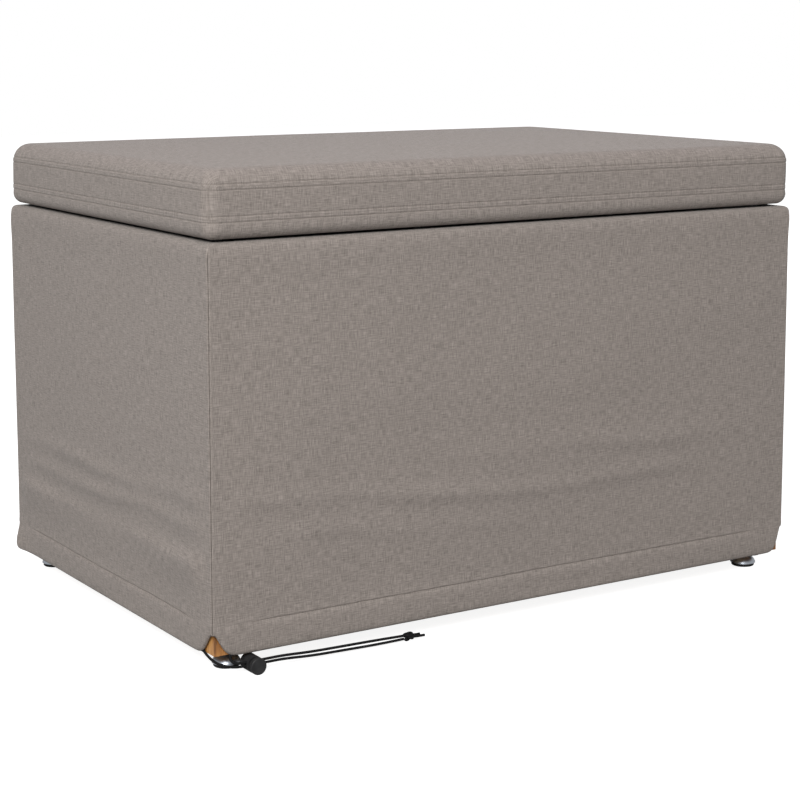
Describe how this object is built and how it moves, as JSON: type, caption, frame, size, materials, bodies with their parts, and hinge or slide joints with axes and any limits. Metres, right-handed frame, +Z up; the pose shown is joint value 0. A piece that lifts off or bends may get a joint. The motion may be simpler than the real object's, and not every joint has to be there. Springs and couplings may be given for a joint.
{
  "type": "storage bench",
  "caption": "Slipcovered storage bench: padded lid hinged at the back on a fabric-sleeved wooden box, with levelling feet and a drawcord hem.",
  "frame": {"origin": "on the floor under the middle of the bench", "axes": "+Z up, +X to the right along the long front, +Y from the front to the hinged back"},
  "size_m": [0.762, 0.5252, 0.508],
  "materials": {
    "honey_wood": "gloss varnish",
    "plywood": "satin varnish",
    "rail_wood": "planed, bare",
    "linen_fabric": "woven, matt",
    "wadding": "fluffy",
    "foam": "open cell",
    "dust_cloth": "thin non-woven",
    "zinc_screws": "zinc plated",
    "zinc_steel": "zinc plated",
    "black_steel": "satin powder coat",
    "slider_nylon": "satin",
    "foot_rubber": "matt",
    "foot_chrome": "polished",
    "stem_steel": "zinc plated",
    "bumper_rubber": "black rubber",
    "black_cord": "braided elastic",
    "lock_plastic": "fine texture",
    "spring_steel": "wound wire"
  },
  "bodies": {
    "base": {"bottom_rail_back": "rail_wood", "bottom_rail_front": "rail_wood", "bottom_rail_left": "rail_wood", "bottom_rail_right": "rail_wood", "cord_knot": "black_cord", "cord_strand_front": "black_cord", "cord_strand_left": "black_cord", "floor_panel": "plywood", "foot_inserts": "stem_steel", "hem_drawcord": "black_cord", "hinge_base_leaves": "zinc_steel", "hinge_base_screws": "zinc_screws", "hinge_pins": "zinc_steel", "panel_back": "plywood", "panel_front": "plywood", "panel_left": "plywood", "panel_right": "plywood", "post_back_left": "honey_wood", "post_back_right": "honey_wood", "post_front_left": "honey_wood", "post_front_right": "honey_wood", "rim_bumpers": "bumper_rubber", "slipcover": "linen_fabric", "stay_track_screws": "zinc_screws", "stay_tracks": "black_steel", "top_rail_back": "rail_wood", "top_rail_front": "rail_wood", "top_rail_left": "rail_wood", "top_rail_right": "rail_wood", "wadding": "wadding"},
    "lid": {"dust_cloth": "dust_cloth", "hinge_lid_leaves": "zinc_steel", "hinge_lid_screws": "zinc_screws", "lid_board": "plywood", "lid_cover": "linen_fabric", "lid_foam": "foam", "stay_bracket_screws": "zinc_screws", "stay_brackets": "zinc_steel", "stay_rivets": "zinc_steel"},
    "stay_arm_left": {"stay_arm_left": "zinc_steel", "stay_slider_left": "slider_nylon"},
    "stay_arm_right": {"stay_arm_right": "zinc_steel", "stay_slider_right": "slider_nylon"},
    "cord_lock": {"cord_lock_barrel": "lock_plastic", "cord_lock_spring": "spring_steel"},
    "cord_lock_button": {"cord_lock_plunger": "lock_plastic"},
    "foot_pad_front_left": {"foot_pad_front_left": "foot_rubber"},
    "foot_screw_front_left": {"foot_dome_front_left": "foot_chrome", "foot_stem_front_left": "stem_steel"},
    "foot_pad_front_right": {"foot_pad_front_right": "foot_rubber"},
    "foot_screw_front_right": {"foot_dome_front_right": "foot_chrome", "foot_stem_front_right": "stem_steel"},
    "foot_pad_back_left": {"foot_pad_back_left": "foot_rubber"},
    "foot_screw_back_left": {"foot_dome_back_left": "foot_chrome", "foot_stem_back_left": "stem_steel"},
    "foot_pad_back_right": {"foot_pad_back_right": "foot_rubber"},
    "foot_screw_back_right": {"foot_dome_back_right": "foot_chrome", "foot_stem_back_right": "stem_steel"}
  },
  "joints": [
    {"name": "lid_hinge", "type": "hinge", "parent": "base", "child": "lid", "pos_m": [0, 0.2535, 0.43475], "axis": [-1, 0, 0], "range_deg": [0, 75]},
    {"name": "stay_pivot_left", "type": "hinge", "parent": "lid", "child": "stay_arm_left", "pos_m": [-0.3253, 0.12177, 0.41019], "axis": [-1, 0, 0], "range_deg": [-150, 0]},
    {"name": "stay_pivot_right", "type": "hinge", "parent": "lid", "child": "stay_arm_right", "pos_m": [0.3253, 0.12177, 0.41019], "axis": [-1, 0, 0], "range_deg": [-150, 0]},
    {"name": "foot_level_front_left", "type": "slide", "parent": "base", "child": "foot_pad_front_left", "axis": [0, 0, 1], "range_m": [-0.006, 0.006]},
    {"name": "foot_turn_front_left", "type": "hinge", "parent": "foot_pad_front_left", "child": "foot_screw_front_left", "pos_m": [-0.349, -0.222, 0], "axis": [0, 0, 1], "range_deg": [-1728, 1728]},
    {"name": "foot_level_front_right", "type": "slide", "parent": "base", "child": "foot_pad_front_right", "axis": [0, 0, 1], "range_m": [-0.006, 0.006]},
    {"name": "foot_turn_front_right", "type": "hinge", "parent": "foot_pad_front_right", "child": "foot_screw_front_right", "pos_m": [0.349, -0.222, 0], "axis": [0, 0, 1], "range_deg": [-1728, 1728]},
    {"name": "foot_level_back_left", "type": "slide", "parent": "base", "child": "foot_pad_back_left", "axis": [0, 0, 1], "range_m": [-0.006, 0.006]},
    {"name": "foot_turn_back_left", "type": "hinge", "parent": "foot_pad_back_left", "child": "foot_screw_back_left", "pos_m": [-0.349, 0.222, 0], "axis": [0, 0, 1], "range_deg": [-1728, 1728]},
    {"name": "foot_level_back_right", "type": "slide", "parent": "base", "child": "foot_pad_back_right", "axis": [0, 0, 1], "range_m": [-0.006, 0.006]},
    {"name": "foot_turn_back_right", "type": "hinge", "parent": "foot_pad_back_right", "child": "foot_screw_back_right", "pos_m": [0.349, 0.222, 0], "axis": [0, 0, 1], "range_deg": [-1728, 1728]},
    {"name": "cord_lock_slide", "type": "slide", "parent": "base", "child": "cord_lock", "axis": [1, 0, 0], "range_m": [0, 0.02]},
    {"name": "cord_lock_press", "type": "slide", "parent": "cord_lock", "child": "cord_lock_button", "axis": [0, 1, 0], "range_m": [0, 0.003], "stiffness_N_per_m": 900, "springref_m": -0.004, "deforming": ["cord_lock_spring"]}
  ],
  "couplings": [
    {"joint": "stay_pivot_left", "follows": "lid_hinge", "ratio": -2},
    {"joint": "stay_pivot_right", "follows": "lid_hinge", "ratio": -2},
    {"joint": "foot_turn_front_left", "follows": "foot_level_front_left", "rad_per_m": 5026.5},
    {"joint": "foot_turn_front_right", "follows": "foot_level_front_right", "rad_per_m": 5026.5},
    {"joint": "foot_turn_back_left", "follows": "foot_level_back_left", "rad_per_m": 5026.5},
    {"joint": "foot_turn_back_right", "follows": "foot_level_back_right", "rad_per_m": 5026.5}
  ]
}
